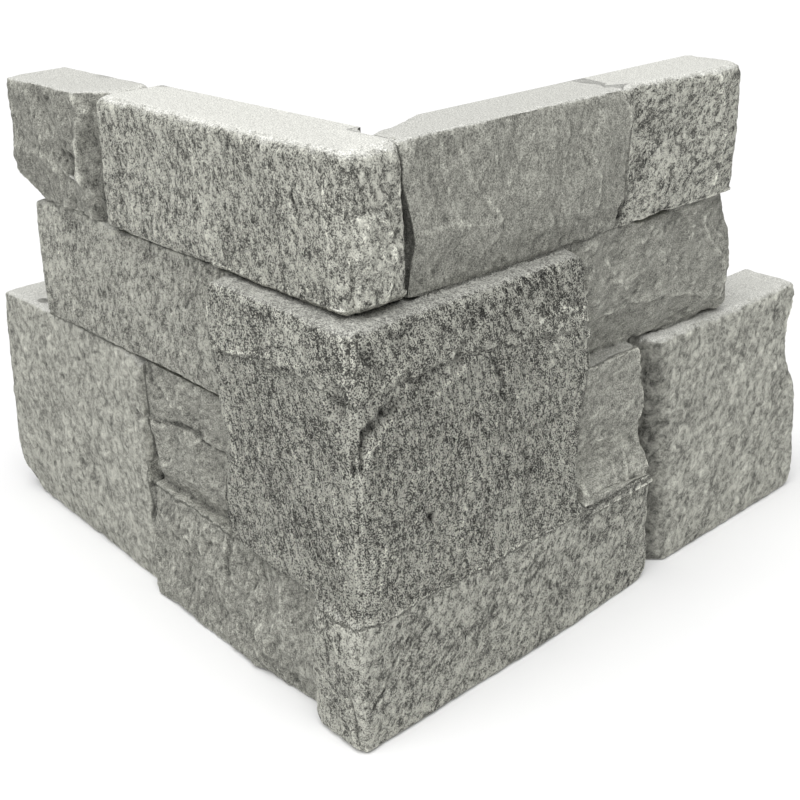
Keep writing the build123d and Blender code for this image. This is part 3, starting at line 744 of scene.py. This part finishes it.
# Split stone: soft clouds, faint pale scratches and specks
cloud = k.noise(place, 110.0, 3.0, 0.6)
scratch = k.mix(side, k.noise(right_at, 0.5, 4.0, 0.7, 0.8), k.noise(left_at, 0.5, 4.0, 0.7, 0.8))
scratch = k.ramp(scratch, 0.56, 0.70)
glint = k.ramp(k.noise(place, 1300.0, 1.0, 0.5), 0.64, 0.74)
split_tone = k.math("MULTIPLY", ground, k.ramp(swing, -1.6, 1.6, 0.25, 1.75))
split_tone = k.math("MULTIPLY", split_tone, about(cloud, 0.5))
split_tone = k.math("ADD", split_tone, k.math("MULTIPLY", scratch, 0.05))
split_tone = k.math("ADD", split_tone, k.math("MULTIPLY", glint, 0.12))
# The same pits darkened on split stones: partly their own tone, partly painted shade
split_tone = k.math("MULTIPLY", split_tone, k.math("SUBTRACT", 1.0, k.math("MULTIPLY", pit, dark)))
tone = k.mix(is_split, worn_tone, split_tone)

# Painted light and shade: ridges and rims painted paler as highlights, hollows, gaps and creases painted
# darker as shade, and the beds paler still, partly their own paler tone and partly painted overhead light
# Painted highlight on ridges, painted shade in hollows
tone = k.math("MULTIPLY", tone, k.ramp(ridge_light_and_hollow_shade, -0.1, -0.9, 1.0, 1.45))
tone = k.math("MULTIPLY", tone, k.ramp(ridge_light_and_hollow_shade, 0.1, 0.9, 1.0, 0.60))
# Painted shade deep in the gaps between the stones
tone = k.math("MULTIPLY", tone, k.ramp(gap, 0.12, 0.8, 1.0, 0.30))
# Painted highlight along the rims
tone = k.math("MULTIPLY", tone, k.math("MULTIPLY_ADD", rim, 0.45, 1.0))
facing = k.add("ShaderNodeSeparateXYZ", {0: k.add("ShaderNodeNewGeometry").outputs["Normal"]})
rubbed = k.noise(place, 420.0, 3.0, 0.65)
level = k.math("MULTIPLY_ADD", k.math("SUBTRACT", rubbed, 0.5), 0.8, facing.outputs[2])
# Beds where the surface faces up: partly their own paler tone, partly painted overhead light
bed = k.math("MULTIPLY", k.ramp(level, 0.40, 0.95), k.attribute("shows"))
bed_tone_and_light = k.math("MULTIPLY", k.attribute("bed"), about(rubbed, 0.30))
bed_tone_and_light = k.math("MULTIPLY", bed_tone_and_light, about(sand, 1.9))
# Painted shade on the beds deep in the gaps
bed_tone_and_light = k.math("MULTIPLY", bed_tone_and_light, k.ramp(gap, 0.12, 0.8, 1.0, 0.30))
tone = k.mix(bed, tone, bed_tone_and_light)
# Painted shade in the creases of the joints
tone = k.math("MULTIPLY", tone, k.ramp(k.attribute("crease_shade"), 0.15, 0.8, 1.0, 0.35))

# The back and the underside are plain as cast
spot = k.add("ShaderNodeSeparateXYZ", {0: place}).outputs
across, along, upward = facing.outputs
at_left_back = k.math("MULTIPLY", k.ramp(spot[1], -0.0009, -0.0005), k.ramp(spot[1], 0.001, 0.003, 1.0, 0.0))
at_right_back = k.math("MULTIPLY", k.ramp(spot[0], 0.0009, 0.0005), k.ramp(spot[0], -0.003, -0.001))
left_back = k.math("MULTIPLY", k.ramp(along, 0.5, 0.8), at_left_back)
right_back = k.math("MULTIPLY", k.ramp(across, -0.5, -0.8), at_right_back)
under = k.math("MULTIPLY", k.ramp(upward, -0.5, -0.8), k.ramp(spot[2], 0.002, 0.001))
cast = k.math("MAXIMUM", k.math("MAXIMUM", left_back, right_back), under)
cast_tone = k.math("MULTIPLY", about(k.noise(place, 60.0, 4.0, 0.65), 0.5), 0.34)
cast_tone = k.math("MULTIPLY", cast_tone, about(sand, 0.8))
tone = k.mix(cast, tone, cast_tone)

colour = k.add("ShaderNodeCombineColor", {
    0: tone, 1: k.math("MULTIPLY", tone, 0.998),
    2: k.math("MULTIPLY", tone, k.mix(bed, 0.885, 0.935))}).outputs[0]
lump = k.math("SUBTRACT", k.math("MULTIPLY", depth, 2.4), k.math("MULTIPLY", pit, 0.30))
lump = k.math("MULTIPLY", lump, k.math("MULTIPLY", contrast, 0.125))
lump = k.math("MULTIPLY_ADD", sand, k.math("MULTIPLY", grit, 0.22), lump)
lump = k.math("MULTIPLY", lump, k.mix(bed, 1.0, 0.35))
lump = k.mix(cast, lump, k.math("MULTIPLY", k.noise(place, 400.0, 3.0, 0.6), 0.5))
bump = k.add("ShaderNodeBump", {"Height": lump, "Strength": 1.0, "Distance": 0.001})
shader = k.add("ShaderNodeBsdfPrincipled", {"Base Color": colour, "Roughness": 0.88,
                                            "Normal": bump.outputs[0]})
shader.inputs["Specular IOR Level"].default_value = 0.25
tree.links.new(shader.outputs[0], output.inputs[0])
mesh.materials.clear()
mesh.materials.append(stone_mat)

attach(body, "root")
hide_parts("corner_panel")

# Floor, light and camera
FLOOR, FLOOR_TONE, FLOOR_DROP = 12.0, 0.8, 0.0002
floor_mesh = bpy.data.meshes.new("floor")
floor_corners = [(-FLOOR, -FLOOR, 0), (FLOOR, -FLOOR, 0), (FLOOR, FLOOR, 0), (-FLOOR, FLOOR, 0)]
floor_mesh.from_pydata(floor_corners, [], [(0, 1, 2, 3)])
floor = bpy.data.objects.new("floor", floor_mesh)
bpy.context.scene.collection.objects.link(floor)
floor_mat = bpy.data.materials.new("pale_floor")
floor_mat.use_nodes = True
floor_shader = floor_mat.node_tree.nodes["Principled BSDF"]
floor_shader.inputs["Base Color"].default_value = (FLOOR_TONE, FLOOR_TONE, FLOOR_TONE, 1)
floor_shader.inputs["Roughness"].default_value = 0.9
floor_mesh.materials.append(floor_mat)
floor.location.z = -FLOOR_DROP

world = bpy.data.worlds.new("studio")
world.use_nodes = True
world.node_tree.nodes["Background"].inputs[0].default_value = (1, 1, 1, 1)
world.node_tree.nodes["Background"].inputs[1].default_value = 0.18
bpy.context.scene.world = world


def sun_light(name, place, spread_angle, power):
    """A broad light that shines from its place towards the origin."""
    light = bpy.data.lights.new(name, "SUN")
    light.angle = math.radians(spread_angle)
    light.energy = power
    lamp = bpy.data.objects.new(name, light)
    bpy.context.scene.collection.objects.link(lamp)
    lamp.location = place
    lamp.rotation_mode = "QUATERNION"
    lamp.rotation_quaternion = Vector(place).to_track_quat("Z", "Y")


# One broad softbox high above the corner: where it stands, how wide it spreads in degrees, and its power
sun_light("softbox", (0.30, -0.42, 1.25), 70, 4.0)

# The camera solved from the photograph: its focal length, its shift and the picture's width in pixels, the
# width of its sensor in millimetres, its place in metres, and the directions right, up and behind it
FOCAL, SHIFT, PICTURE, SENSOR = 1243.24, -50, 800, 36
CAMERA_AT = (0.2937, -0.2426, 0.2815)
CAMERA_AXES = ((0.6664, 0.7448, -0.0349), (-0.2615, 0.2774, 0.9245), (0.6982, -0.6070, 0.3796))
camera_data = bpy.data.cameras.new("camera")
camera_data.sensor_width = SENSOR
camera_data.lens = FOCAL / PICTURE * SENSOR
camera_data.shift_y = SHIFT / PICTURE
camera_data.clip_start, camera_data.clip_end = 0.01, 60
camera = bpy.data.objects.new("camera", camera_data)
bpy.context.scene.collection.objects.link(camera)
camera.rotation_mode = "QUATERNION"
camera.rotation_quaternion = Matrix(CAMERA_AXES).transposed().to_quaternion()
camera.location = CAMERA_AT
bpy.context.scene.camera = camera
bpy.context.scene.view_settings.view_transform = "Standard"
